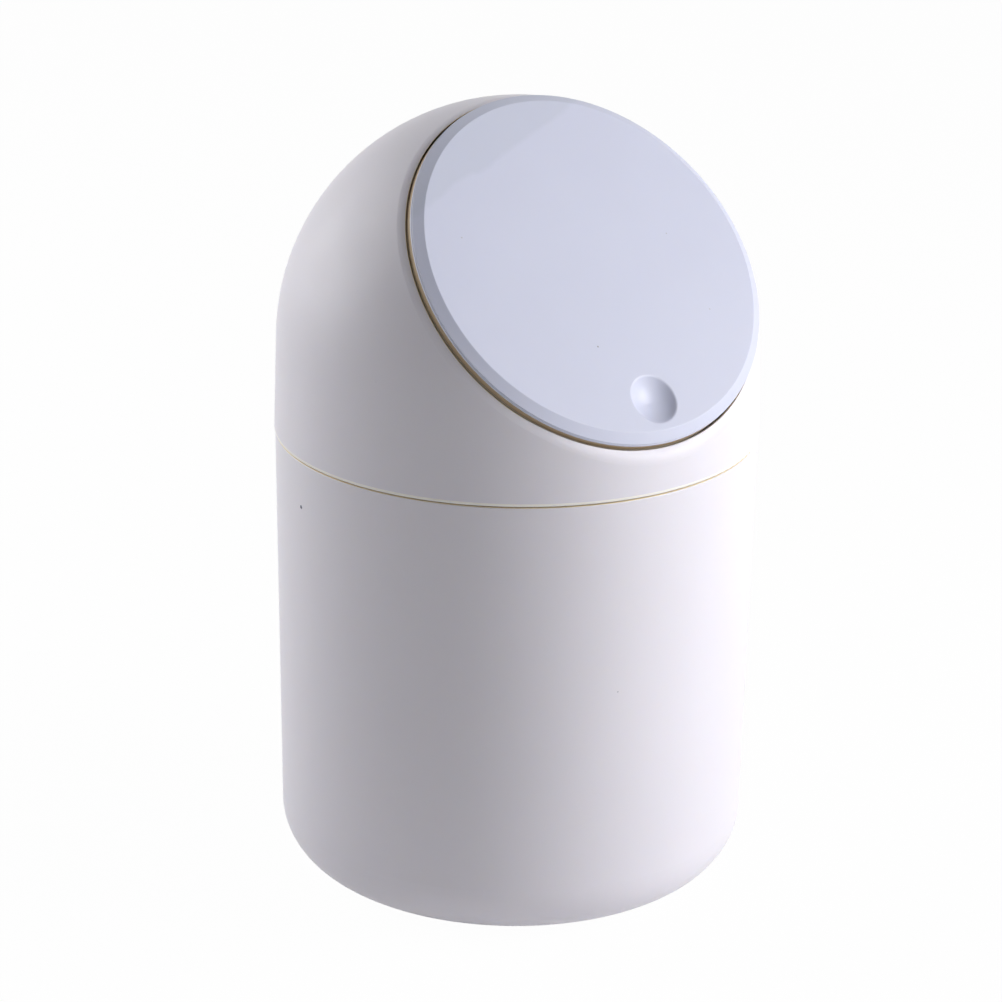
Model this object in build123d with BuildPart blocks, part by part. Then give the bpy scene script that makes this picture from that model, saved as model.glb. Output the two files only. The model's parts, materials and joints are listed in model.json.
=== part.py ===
"""Push top countertop bin: a drafted bucket under a lift-off domed hood, whose slanted round mouth is
closed by a press-to-open flap on a steel hinge pin and a push-push magnetic catch.

Frame: millimetres, +Z up, origin at the centre of the foot, the flap faces -Y and upwards.
Flap frame: x across, v up the slope of the flap, h out of its face, so inner pieces have negative h.
"""

import os
from math import acos, atan2, cos, degrees, hypot, radians, sin, sqrt, tan

from build123d import *

# ------------------------------------------------------------------ driving dimensions, bucket and hood
hood_skirt_radius = 62.5
dome_inset = 0.65
seam_height = 119.3
dome_rise = 23.7
seam_gap = 0.3
hood_wall = 2.0

hood_overhang = 0.25
bucket_taper = 1.25
bucket_bottom_round = 15.5
bucket_wall = 1.8
bucket_floor = 2.4
foot_ring_width = 4.0
foot_recess_depth = 0.8

neck_cup_gap = 0.85
neck_wall = 1.6
neck_clearance = 0.3
neck_seat_width = 1.2
grip_rib_count = 8
grip_rib_height = 0.22
grip_rib_radius = 0.8
edge_break = 0.4

# ------------------------------------------------------------------ driving dimensions, mouth and flap
face_tilt = 41.7
flap_setback = 12.9
cover_inset = 0.15
bevel_width = 2.5
bevel_depth = 1.5
bevel_round = 0.35
cover_edge_height = 0.35
cover_thickness = 1.6
flap_rim_wall = 1.5
flap_depth = 6.4
flap_floor_depth = 3.8
flap_floor_thickness = 1.5
cover_seam = 0.05
locating_ring_wall = 1.4
locating_ring_height = 1.2
locating_ring_clearance = 0.2
edge_round = 0.15

mouth_clearance = 0.5
lip_depth = 3.22
lip_width = 0.05
lip_lead = 0.25
lip_lead_depth = 0.35
lip_round = 5.0
recess_wall = 1.75
ledge_depth = 8.8
ledge_thickness = 2.0
ledge_width = 5.0
hinge_shelf_depth = 14.5
catch_shelf_depth = 8.5
throat_corner = 6.0

dimple_inset = 10.95
dimple_radius = 6.4
dimple_depth = 2.6
dimple_wall = 1.1
dimple_rim_round = 0.7

rib_ring_inset = 15.95
rib_width = 1.2
rib_height = 0.8
radial_rib_angles = (-22.5, 22.5, 157.5, 202.5, 240.0, 300.0)

# ------------------------------------------------------------------ driving dimensions, hinge
hinge_inset = 5.95
hinge_depth = 3.15
pin_radius = 1.0
pin_half_length = 14.9
running_clearance = 0.05
ear_radius = 1.9
ear_inner_x = 8.0
ear_thickness = 2.6
stem_half_width = 1.5
stem_foot_setback = 5.0
lug_top_gap = 0.15
lug_half_length = 3.0
lug_end_wall = 1.2
lug_side_gap = 0.9
pin_pad_width = 2.0
pocket_roof = 0.9
pocket_front = 4.8
pocket_back = 2.4
window_front = 5.4
window_back = 2.9
relief_setback = 4.2
plate_setback = 4.7
plate_length = 8.8
plate_thickness = 1.6
plate_half_width = 17.0
plate_corner = 1.5
bracket_screw_x = 14.0
screw_boss_radius = 3.0
screw_boss_height = 3.8

spring_wire = 0.5
spring_mean_radius = 1.4
spring_turns = 6
spring_pitch = 0.6
spring_outer_x = 7.5
fixed_leg_drop = 15.0
free_leg_drop = 3.2
spring_leg_length = 8.3

# ------------------------------------------------------------------ driving dimensions, catch
press_travel = 2.0
release_travel = 3.0
striker_radius = 4.5
striker_thickness = 1.0
striker_boss_radius = 5.2
striker_boss_height = 0.9
striker_gap = 0.25
striker_well_clearance = 0.9
striker_well_depth = 1.0

stem_radius = 4.0
stem_clearance = 0.4
magnet_radius = 3.0
magnet_thickness = 2.0
magnet_proud = 0.15
slider_half_width = 5.2
slider_half_depth = 4.6
slider_length = 9.0
slider_clearance = 0.1
# The press swings the slider about the hinge line, so across the swing it has more room.
slider_swing_clearance = 0.6
slider_stop_gap = 0.4
spring_bore_radius = 2.8
spring_bore_depth = 5.2

housing_wall = 1.6
housing_top = 2.0
housing_length = 22.2
housing_ear_length = 7.4
housing_ear_height = 4.6
catch_screw_x = 10.9
cap_flange = 1.2
cap_plug = 2.0
cap_peg_radius = 1.8
cap_peg_height = 2.0
catch_spring_mean_radius = 2.25
catch_spring_turns = 7

cam_wire_radius = 0.45
cam_arm = 10.0
cam_swing = 6.0
cam_lane_clearance = 0.15
cam_groove_depth = 1.7
cam_tip_reach = 0.95
cam_bend = 0.8
cam_pivot_rise = 1.5
cam_leg_shift = 0.15
side_cover_thickness = 1.2
side_cover_length = 16.0
side_cover_lift = 0.8
rivet_x = 5.0
rivet_spread = 6.2
rivet_proud = 0.4
rivet_radius = 0.9
rivet_clearance = 0.05

# ------------------------------------------------------------------ driving dimensions, screws
small_head_radius = 1.8
small_head_height = 0.9
small_shank_radius = 0.9
head_radius = 2.2
head_height = 1.1
shank_radius = 1.15
screw_hole_clearance = 0.05
screw_passage_clearance = 0.2
cover_screw_inset = 8.45
cover_screw_angles = (40, 140, 220, 320)
cover_boss_radius = 2.3
cross_recess_width = 0.5
cross_recess_depth = 0.5
cross_recess_share = 0.55
pan_head_taper = 0.75
cover_screw_length = 3.4
cover_screw_bite = 2.8
cover_counterbore = 0.7
striker_screw_length = 3.2
striker_screw_bite = 2.3
hinge_screw_length = 6.6
bracket_screw_depth = 5.2
catch_screw_length = 5.6
catch_screw_bite = 3.8

os.makedirs("parts", exist_ok=True)


def finish(builder, name):
    """Label one finished piece and write it as its own file."""
    builder.part.label = name
    export_step(builder.part, f"parts/{name}.step")


# ------------------------------------------------------------------ the flap's frame
dome_radius = hood_skirt_radius - dome_inset
dome_centre_height = seam_height + dome_rise
bucket_rim_radius = hood_skirt_radius - hood_overhang
bucket_foot_radius = bucket_rim_radius - bucket_taper
flap_rim_radius = dome_radius - flap_setback
bevel_radius = flap_rim_radius - cover_inset
face_radius = bevel_radius - bevel_width
bore_radius = flap_rim_radius + mouth_clearance
recess_radius = bore_radius + recess_wall
# The lip plane cuts the dome in a circle that is wider than the bore by the lip.
face_distance = sqrt(dome_radius**2 - (bore_radius + lip_width) ** 2) + lip_depth
hinge_offset = flap_rim_radius - hinge_inset
dimple_distance = flap_rim_radius - dimple_inset
rib_ring_radius = flap_rim_radius - rib_ring_inset
cover_screw_radius = flap_rim_radius - cover_screw_inset
throat_top = hinge_offset - hinge_shelf_depth
throat_bottom = catch_shelf_depth - dimple_distance

LOW_END = (Align.CENTER, Align.CENTER, Align.MAX)
HIGH_END = (Align.CENTER, Align.CENTER, Align.MIN)
turned_over = Location((0, 0, 0), (180, 0, 0))
out_of_face = Vector(0, -cos(radians(face_tilt)), sin(radians(face_tilt)))
up_slope = Vector(0, sin(radians(face_tilt)), cos(radians(face_tilt)))
dome_centre = Vector(0, 0, dome_centre_height)
face_centre = dome_centre + out_of_face * face_distance
flap_axis = Axis(face_centre, out_of_face)
face_plane = Plane(origin=face_centre, x_dir=(1, 0, 0), z_dir=out_of_face)
section_plane = Plane(origin=face_centre, x_dir=(1, 0, 0), z_dir=-up_slope)
side_plane = Plane(origin=face_centre, x_dir=up_slope, z_dir=(1, 0, 0))


def at_h(h):
    """The plane parallel to the flap's face at height h; sketches on it are in x and v."""
    return face_plane.offset(h)


def at_v(v):
    """The plane across the slope at v; sketches on it are in x and h, and it faces down the slope."""
    return section_plane.offset(-v)


def on_face(places, h):
    """Locations at x, v pairs on the plane at h, whose own Z points out of the face."""
    return [at_h(h).location * Location((x, v, 0)) for x, v in places]


def facing_in(places, h):
    """The same locations turned over, with their own Z into the bin."""
    return [place * turned_over for place in on_face(places, h)]


def screws(name, places, head, shank, length, height):
    """A group of equal cross-head screws, each under its head; a height of 0 makes them countersunk."""
    with BuildPart() as group:
        with Locations(*places):
            Cylinder(shank, length, align=LOW_END)
            if height == 0:
                Cone(shank, head, head - shank, align=LOW_END)
            else:
                Cylinder(head, height / 2, align=HIGH_END)
        if height > 0:
            with Locations(*[place * Location((0, 0, height / 2)) for place in places]):
                Cone(head, head * pan_head_taper, height / 2, align=HIGH_END)
        with Locations(*[place * Location((0, 0, height)) for place in places]):
            for turn in (0, 90):
                Box(
                    2 * head * cross_recess_share,
                    cross_recess_width,
                    cross_recess_depth,
                    rotation=(0, 0, turn),
                    align=LOW_END,
                    mode=Mode.SUBTRACT,
                )
    finish(group, name)


def blind_hole(radius, depth):
    """A hole that runs from each of the current locations along their own Z."""
    Cylinder(radius, depth, align=HIGH_END, mode=Mode.SUBTRACT)


ledge_bottom = -ledge_depth - ledge_thickness
above_all = dome_radius
catch_v = -dimple_distance
shelf_top_edge = hinge_offset - relief_setback
plate_front = hinge_offset - plate_setback
plate_middle = plate_front - plate_length / 2
bracket_screw_places = [(side * bracket_screw_x, plate_middle) for side in (-1, 1)]
catch_screw_places = [(side * catch_screw_x, catch_v) for side in (-1, 1)]

# ------------------------------------------------------------------ bucket
shoulder_height = seam_height - seam_gap / 2
skirt_bottom = seam_height + seam_gap / 2
neck_radius = hood_skirt_radius - hood_wall - neck_clearance
neck_inner_radius = neck_radius - neck_wall
# The neck ends below the hood's mouth cup, which comes lowest in front where it crosses the neck's wall.
tilt = radians(face_tilt)
cup_height = dome_centre_height + neck_inner_radius * tan(tilt) - recess_radius / cos(tilt)
neck_top = cup_height - neck_cup_gap
foot_ring_inner = bucket_foot_radius - bucket_bottom_round - foot_ring_width

with BuildPart() as bucket:
    with BuildSketch(Plane.XZ) as bucket_outside:
        with BuildLine():
            Polyline(
                (0, 0),
                (bucket_foot_radius, 0),
                (bucket_rim_radius, shoulder_height),
                (neck_radius, shoulder_height),
                (neck_radius, neck_top),
                (0, neck_top),
                close=True,
            )
        make_face()
        foot_corner = bucket_outside.vertices().sort_by_distance((bucket_foot_radius, 0))[0]
        fillet(foot_corner, bucket_bottom_round)
        shoulder_corner = bucket_outside.vertices().sort_by_distance((bucket_rim_radius, shoulder_height))[0]
        fillet(shoulder_corner, edge_break)
    revolve(axis=Axis.Z)
    with BuildSketch(Plane.XZ) as bucket_inside:
        with BuildLine():
            Polyline(
                (0, bucket_floor),
                (bucket_foot_radius - bucket_wall, bucket_floor),
                (neck_inner_radius, shoulder_height),
                (neck_inner_radius, neck_top),
                (0, neck_top),
                close=True,
            )
        make_face()
        floor_corner = bucket_inside.vertices().sort_by_distance((bucket_foot_radius, bucket_floor))[0]
        fillet(floor_corner, bucket_bottom_round - bucket_wall)
    revolve(axis=Axis.Z, mode=Mode.SUBTRACT)
    with BuildSketch(Plane.XY):
        Circle(foot_ring_inner)
    extrude(amount=foot_recess_depth, mode=Mode.SUBTRACT)
    fillet(bucket.edges().group_by(Axis.Z)[-1], edge_break)
    # Small upright ribs on the neck that the hood's skirt slides over.
    with BuildSketch(Plane.XY.offset(shoulder_height)):
        with PolarLocations(neck_radius + grip_rib_height - grip_rib_radius, grip_rib_count):
            Circle(grip_rib_radius)
    extrude(amount=neck_top - shoulder_height - 2 * edge_break)
finish(bucket, "bucket")

# ------------------------------------------------------------------ hood
# The skirt is the tangent from its bottom edge to the dome, so the wall has no crease.
skirt_drop = dome_centre_height - skirt_bottom
skirt_draft = acos(dome_radius / hypot(hood_skirt_radius, skirt_drop)) - atan2(skirt_drop, hood_skirt_radius)


def on_dome(radius, angle):
    """A point of the dome's section, at an angle above its centre."""
    return (radius * cos(angle), dome_centre_height + radius * sin(angle))


dome_top_angle = radians(90)
inner_dome_radius = dome_radius - hood_wall
seat_inner_radius = neck_radius + neck_clearance - neck_seat_width

with BuildPart() as hood_cavity:
    with BuildSketch(Plane.XZ):
        with BuildLine():
            Polyline(
                on_dome(inner_dome_radius, dome_top_angle),
                (0, skirt_bottom),
                (hood_skirt_radius - hood_wall, skirt_bottom),
                (hood_skirt_radius - hood_wall, neck_top),
                (seat_inner_radius, neck_top),
                on_dome(inner_dome_radius, 0),
            )
            ThreePointArc(
                on_dome(inner_dome_radius, 0),
                on_dome(inner_dome_radius, dome_top_angle / 2),
                on_dome(inner_dome_radius, dome_top_angle),
            )
        make_face()
    revolve(axis=Axis.Z)
    with BuildSketch(at_h(ledge_bottom)):
        Circle(recess_radius)
    extrude(amount=above_all, mode=Mode.SUBTRACT)

with BuildPart() as hood:
    with BuildSketch(Plane.XZ):
        with BuildLine():
            Polyline(
                on_dome(dome_radius, dome_top_angle),
                (0, skirt_bottom),
                (hood_skirt_radius, skirt_bottom),
                on_dome(dome_radius, skirt_draft),
            )
            ThreePointArc(
                on_dome(dome_radius, skirt_draft),
                on_dome(dome_radius, (skirt_draft + dome_top_angle) / 2),
                on_dome(dome_radius, dome_top_angle),
            )
        make_face()
    revolve(axis=Axis.Z)
    fillet(hood.edges().group_by(Axis.Z)[0], edge_break)
    with BuildSketch(at_h(-lip_depth)):
        Circle(dome_radius)
    extrude(amount=above_all, mode=Mode.SUBTRACT)
    fillet(hood.edges().group_by(flap_axis)[-1], lip_round)
    add(hood_cavity.part, mode=Mode.SUBTRACT)
    with BuildSketch(at_h(-ledge_depth)):
        Circle(bore_radius)
    extrude(amount=above_all, mode=Mode.SUBTRACT)
    # A lead-in on the lip's inner edge clears the flap's top corners as they dip behind the hinge.
    with BuildSketch(section_plane):
        with BuildLine():
            Polyline(
                (bore_radius, -lip_depth - lip_lead_depth),
                (bore_radius, -lip_depth + lip_lead_depth),
                (bore_radius + 2 * lip_lead, -lip_depth + lip_lead_depth),
                close=True,
            )
        make_face()
    revolve(axis=flap_axis, mode=Mode.SUBTRACT)
    # The throat: all that lies inside the ledge, between the hinge shelf and the catch shelf.
    with BuildSketch(at_h(ledge_bottom)) as throat:
        Circle(bore_radius - ledge_width)
        with Locations((0, (throat_top + throat_bottom) / 2)):
            Rectangle(2 * bore_radius, throat_top - throat_bottom, mode=Mode.INTERSECT)
        fillet(throat.vertices(), throat_corner)
    extrude(amount=ledge_thickness, mode=Mode.SUBTRACT)
    # The flap's top edge dips behind the hinge as it opens, so the ledge stops short of it.
    with BuildSketch(at_h(ledge_bottom)):
        Circle(bore_radius)
        with Locations((0, shelf_top_edge + bore_radius)):
            Rectangle(2 * bore_radius, 2 * bore_radius, mode=Mode.INTERSECT)
    extrude(amount=ledge_thickness, mode=Mode.SUBTRACT)
    # Screw bosses under the hinge shelf.
    with Locations(*on_face(bracket_screw_places, ledge_bottom)):
        Cylinder(screw_boss_radius, screw_boss_height, align=LOW_END)
    with Locations(*on_face(bracket_screw_places, -ledge_depth)):
        Hole(shank_radius + screw_hole_clearance, depth=bracket_screw_depth)
    # The catch shelf: a well for the striker, the stem's hole and two countersunk screw holes.
    with Locations(*on_face([(0, catch_v)], -ledge_depth)):
        Hole(striker_radius + striker_well_clearance, depth=striker_well_depth)
        Hole(stem_radius + stem_clearance, depth=ledge_thickness)
    with Locations(*on_face(catch_screw_places, -ledge_depth)):
        CounterSinkHole(
            shank_radius + screw_passage_clearance,
            head_radius + screw_passage_clearance,
            depth=ledge_thickness,
            counter_sink_angle=90,
        )
finish(hood, "hood")

# ------------------------------------------------------------------ flap cover
rim_inner_radius = flap_rim_radius - flap_rim_wall
cover_edge_bottom = -bevel_depth - cover_edge_height
ring_outer = rim_inner_radius - locating_ring_clearance
ring_inner = ring_outer - locating_ring_wall
bowl_radius = (dimple_radius**2 + dimple_depth**2) / (2 * dimple_depth)
bowl_centre_h = bowl_radius - dimple_depth
bowl_outer_radius = bowl_radius + dimple_wall
bowl_foot_angle = acos((bowl_centre_h + cover_thickness) / bowl_outer_radius)
dimple_section = at_v(catch_v)
dimple_axis = Axis(dimple_section.origin, out_of_face)
cover_screw_places = [
    (cover_screw_radius * cos(radians(angle)), cover_screw_radius * sin(radians(angle)))
    for angle in cover_screw_angles
]
hinge_h = -hinge_depth
lug_inner_x = ear_inner_x + ear_thickness + lug_side_gap
lug_outer_x = pin_half_length + running_clearance + lug_end_wall
lug_middle_x = (lug_inner_x + lug_outer_x) / 2
pin_pad_x = (lug_inner_x + pin_half_length) / 2


def on_bowl(radius, angle):
    """A point of the dimple's section, at an angle from its lowest point."""
    return (radius * sin(angle), bowl_centre_h - radius * cos(angle))


with BuildPart() as flap_cover:
    with BuildSketch(section_plane) as cover_section:
        with BuildLine():
            Polyline(
                (0, 0),
                (face_radius, 0),
                (bevel_radius, -bevel_depth),
                (bevel_radius, cover_edge_bottom),
                (ring_outer, cover_edge_bottom),
                (ring_outer, -cover_thickness - locating_ring_height),
                (ring_inner, -cover_thickness - locating_ring_height),
                (ring_inner, -cover_thickness),
                (0, -cover_thickness),
                close=True,
            )
        make_face()
        fillet(cover_section.vertices().sort_by_distance((face_radius, 0))[0], bevel_round)
        fillet(cover_section.vertices().sort_by_distance((bevel_radius, -bevel_depth))[0], edge_round)
    revolve(axis=flap_axis)
    # The thumb dimple: a bowl pressed into the face, with its own wall behind.
    with BuildSketch(dimple_section):
        with BuildLine():
            ThreePointArc(
                on_bowl(bowl_outer_radius, 0),
                on_bowl(bowl_outer_radius, bowl_foot_angle / 2),
                on_bowl(bowl_outer_radius, bowl_foot_angle),
            )
            Polyline(
                on_bowl(bowl_outer_radius, bowl_foot_angle),
                (0, -cover_thickness),
                on_bowl(bowl_outer_radius, 0),
            )
        make_face()
    revolve(axis=dimple_axis)
    with Locations(*on_face([(0, catch_v)], bowl_centre_h)):
        Sphere(bowl_radius, mode=Mode.SUBTRACT)
    circles = flap_cover.edges().filter_by(GeomType.CIRCLE)
    dimple_rims = circles.filter_by(lambda edge: abs(edge.radius - dimple_radius) < edge_round)
    fillet(dimple_rims.sort_by_distance(dimple_section.origin)[0], dimple_rim_round)
    # Screw bosses down to the base's floor.
    with BuildSketch(at_h(-cover_thickness)):
        with Locations(*cover_screw_places):
            Circle(cover_boss_radius)
    extrude(amount=cover_seam + cover_thickness - flap_floor_depth)
    with Locations(*on_face(cover_screw_places, -flap_floor_depth + cover_seam)):
        blind_hole(small_shank_radius + screw_hole_clearance, cover_screw_bite)
    # Room for the hinge: the locating ring stops beside it, and the plate is thinned over the ears.
    with BuildSketch(at_h(-cover_thickness)):
        with Locations((0, hinge_offset + lug_half_length)):
            Rectangle(2 * (lug_outer_x + lug_side_gap), 4 * lug_half_length)
    extrude(amount=-locating_ring_height, mode=Mode.SUBTRACT)
    with BuildSketch(at_h(-cover_thickness)):
        with Locations((0, hinge_offset + (pocket_back - pocket_front) / 2)):
            Rectangle(2 * (lug_inner_x - running_clearance), pocket_front + pocket_back)
    extrude(amount=cover_thickness - pocket_roof, mode=Mode.SUBTRACT)
    # Two pads keep the pin down in the base's open bearings.
    with BuildSketch(at_h(-cover_thickness)):
        with Locations((-pin_pad_x, hinge_offset), (pin_pad_x, hinge_offset)):
            Rectangle(pin_pad_width, pin_pad_width)
    extrude(amount=-(hinge_depth - pin_radius - running_clearance - cover_thickness))
finish(flap_cover, "flap_cover")

# ------------------------------------------------------------------ flap base
rim_top = cover_edge_bottom - cover_seam
floor_bottom = -flap_floor_depth - flap_floor_thickness

with BuildPart() as flap_base:
    with BuildSketch(section_plane) as base_section:
        with BuildLine():
            Polyline(
                (0, -flap_floor_depth),
                (rim_inner_radius, -flap_floor_depth),
                (rim_inner_radius, rim_top),
                (flap_rim_radius, rim_top),
                (flap_rim_radius, -flap_depth),
                (rim_inner_radius, -flap_depth),
                (rim_inner_radius, floor_bottom),
                (0, floor_bottom),
                close=True,
            )
        make_face()
        fillet(base_section.vertices().sort_by_distance((flap_rim_radius, rim_top))[0], edge_round)
        fillet(base_section.vertices().sort_by_distance((flap_rim_radius, -flap_depth))[0], edge_break)
    revolve(axis=flap_axis)
    # Stiffening ribs under the floor.
    with BuildSketch(at_h(floor_bottom)):
        Circle(rib_ring_radius + rib_width / 2)
        Circle(rib_ring_radius - rib_width / 2, mode=Mode.SUBTRACT)
        for angle in radial_rib_angles:
            with PolarLocations((rib_ring_radius + rim_inner_radius) / 2, 1, start_angle=angle):
                Rectangle(rim_inner_radius - rib_ring_radius, rib_width)
    extrude(amount=-rib_height)
    # Boss for the striker under the dimple.
    with BuildSketch(at_h(floor_bottom)):
        with Locations((0, catch_v)):
            Circle(striker_boss_radius)
    extrude(amount=-striker_boss_height)
    with Locations(*on_face([(0, catch_v)], floor_bottom - striker_boss_height)):
        blind_hole(small_shank_radius + screw_hole_clearance, striker_screw_bite)
    # Counterbored holes for the cover's screws.
    with Locations(*on_face(cover_screw_places, floor_bottom)):
        blind_hole(small_shank_radius + screw_passage_clearance, flap_floor_thickness)
        blind_hole(small_head_radius + screw_passage_clearance, cover_counterbore)
    # Lugs beside the hinge window, each with an open bearing for the pin.
    with BuildSketch(at_h(-flap_floor_depth)):
        with Locations((-lug_middle_x, hinge_offset), (lug_middle_x, hinge_offset)):
            Rectangle(lug_outer_x - lug_inner_x, 2 * lug_half_length)
    extrude(amount=flap_floor_depth - cover_thickness - lug_top_gap)
    with BuildSketch(at_h(-flap_floor_depth)):
        with Locations((0, hinge_offset + (window_back - window_front) / 2)):
            Rectangle(2 * lug_inner_x, window_front + window_back)
    extrude(amount=-flap_floor_thickness, mode=Mode.SUBTRACT)
    with BuildSketch(side_plane):
        with Locations((hinge_offset, hinge_h)):
            Circle(pin_radius + running_clearance)
        with Locations((hinge_offset, hinge_h + hinge_depth / 2)):
            Rectangle(2 * (pin_radius + running_clearance), hinge_depth)
    extrude(amount=pin_half_length + running_clearance, both=True, mode=Mode.SUBTRACT)
finish(flap_base, "flap_base")

# ------------------------------------------------------------------ hinge
with BuildPart() as hinge_pin:
    with BuildSketch(side_plane):
        with Locations((hinge_offset, hinge_h)):
            Circle(pin_radius)
    extrude(amount=pin_half_length, both=True)
    chamfer(hinge_pin.edges().filter_by(GeomType.CIRCLE), edge_round)
finish(hinge_pin, "hinge_pin")

stem_foot = (hinge_offset - stem_foot_setback, stem_half_width - ledge_depth)
stem_rise = hinge_h - stem_foot[1]
with BuildPart() as hinge_bracket:
    with BuildSketch(at_h(-ledge_depth)) as plate:
        with Locations((0, plate_middle)):
            RectangleRounded(2 * plate_half_width, plate_length, plate_corner)
    extrude(amount=plate_thickness)
    for inner_x in (ear_inner_x, -ear_inner_x - ear_thickness):
        with BuildSketch(side_plane.offset(inner_x)):
            with Locations(
                Location(
                    (hinge_offset - stem_foot_setback / 2, (hinge_h + stem_foot[1]) / 2),
                    degrees(atan2(stem_rise, stem_foot_setback)),
                )
            ):
                SlotCenterToCenter(hypot(stem_rise, stem_foot_setback), 2 * stem_half_width)
            with Locations((hinge_offset, hinge_h)):
                Circle(ear_radius)
                Circle(pin_radius + running_clearance, mode=Mode.SUBTRACT)
        extrude(amount=ear_thickness)
    with Locations(*on_face(bracket_screw_places, plate_thickness - ledge_depth)):
        Hole(shank_radius + screw_passage_clearance, depth=plate_thickness)
finish(hinge_bracket, "hinge_bracket")

coil_axis = Axis(side_plane.origin + up_slope * hinge_offset + out_of_face * hinge_h, (1, 0, 0))


def torsion_spring(name, side):
    """A spring round the pin: a coil, a leg down to the bracket's plate and a leg up to the cover."""
    total_turn = 360 * spring_turns + 180 + free_leg_drop - fixed_leg_drop
    coil_length = spring_pitch * total_turn / 360
    start_x = spring_outer_x - coil_length
    drop = radians(fixed_leg_drop)
    coil_plane = Plane(
        origin=coil_axis.position + Vector(start_x, 0, 0),
        x_dir=up_slope * sin(drop) - out_of_face * cos(drop),
        z_dir=(1, 0, 0),
    )
    coil_path = coil_plane.location * Helix(spring_pitch, coil_length, spring_mean_radius)
    with BuildPart() as spring:
        with BuildSketch(Plane(origin=coil_path @ 0, z_dir=coil_path % 0)):
            Circle(spring_wire / 2)
        sweep(path=coil_path, is_frenet=True)
        with BuildSketch(Plane(origin=coil_path @ 0, z_dir=coil_path % 0)):
            Circle(spring_wire / 2)
        extrude(amount=-spring_leg_length)
        with BuildSketch(Plane(origin=coil_path @ 1, z_dir=coil_path % 1)):
            Circle(spring_wire / 2)
        extrude(amount=spring_leg_length)
        if side < 0:
            mirror(about=Plane.YZ, mode=Mode.REPLACE)
    finish(spring, name)


torsion_spring("hinge_spring_right", 1)
torsion_spring("hinge_spring_left", -1)

# ------------------------------------------------------------------ striker
striker_top = floor_bottom - striker_boss_height
striker_face = striker_top - striker_thickness
with BuildPart() as striker_plate:
    with BuildSketch(at_h(striker_face)):
        with Locations((0, catch_v)):
            Circle(striker_radius)
    extrude(amount=striker_thickness)
    with Locations(*facing_in([(0, catch_v)], striker_face)):
        CounterSinkHole(
            small_shank_radius + screw_passage_clearance,
            small_head_radius + screw_hole_clearance,
            depth=striker_thickness,
            counter_sink_angle=90,
        )
finish(striker_plate, "striker_plate")

# ------------------------------------------------------------------ catch slider
cavity_top = ledge_bottom - housing_top
slider_top = cavity_top - slider_stop_gap - release_travel
slider_bottom = slider_top - slider_length
housing_bottom = ledge_bottom - housing_length
tip_face = striker_face - striker_gap - magnet_proud
cap_top = housing_bottom + cap_plug
cam_pivot_h = cap_top + cam_pivot_rise
cam_tip_h = cam_pivot_h + cam_arm
cam_lane = cam_wire_radius + cam_lane_clearance
cam_side_x = cam_arm * sin(radians(cam_swing)) + cam_lane
cam_track_top = cam_tip_h + press_travel + cam_lane
cam_track_bottom = cam_tip_h - release_travel - cam_lane
slider_face_v = catch_v + slider_half_depth

with BuildPart() as latch_plunger:
    with BuildSketch(at_h(slider_bottom)) as slider_outline:
        with Locations((0, catch_v)):
            Rectangle(2 * slider_half_width, 2 * slider_half_depth)
        fillet(slider_outline.vertices(), edge_break)
    extrude(amount=slider_length)
    with BuildSketch(at_h(slider_top)):
        with Locations((0, catch_v)):
            Circle(stem_radius)
    extrude(amount=tip_face - slider_top)
    with Locations(*on_face([(0, catch_v)], tip_face)):
        Hole(magnet_radius + screw_hole_clearance, depth=magnet_thickness - magnet_proud)
    with Locations(*on_face([(0, catch_v)], slider_bottom)):
        blind_hole(spring_bore_radius, spring_bore_depth)
    # The follower's track: a straight lane, and beside it a pocket above and below the holding tooth.
    with BuildSketch(at_v(slider_face_v)):
        with Locations((0, (cam_track_top + cam_track_bottom) / 2)):
            Rectangle(2 * cam_lane, cam_track_top - cam_track_bottom)
        with Locations(((cam_side_x - cam_lane) / 2, (cam_track_top + cam_tip_h - cam_lane) / 2)):
            Rectangle(cam_side_x + cam_lane, cam_track_top - cam_tip_h + cam_lane)
        with Locations(((cam_side_x - cam_lane) / 2, cam_track_bottom + cam_lane)):
            Rectangle(cam_side_x + cam_lane, 2 * cam_lane)
    extrude(amount=cam_groove_depth, mode=Mode.SUBTRACT)
finish(latch_plunger, "latch_plunger")

with BuildPart() as latch_magnet:
    with BuildSketch(at_h(tip_face + magnet_proud - magnet_thickness)):
        with Locations((0, catch_v)):
            Circle(magnet_radius)
    extrude(amount=magnet_thickness)
    chamfer(latch_magnet.edges().group_by(flap_axis)[-1], edge_round)
finish(latch_magnet, "latch_magnet")

# ------------------------------------------------------------------ catch housing
cavity_half_width = slider_half_width + slider_clearance
cavity_half_depth = slider_half_depth + slider_swing_clearance
housing_half_width = cavity_half_width + housing_wall
housing_half_depth = cavity_half_depth + housing_wall
housing_face_v = catch_v + housing_half_depth
side_cover_middle = housing_bottom + side_cover_lift + side_cover_length / 2
rivet_places = [
    (x, h)
    for x in (-rivet_x, rivet_x)
    for h in (side_cover_middle - rivet_spread, side_cover_middle + rivet_spread)
]

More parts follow.
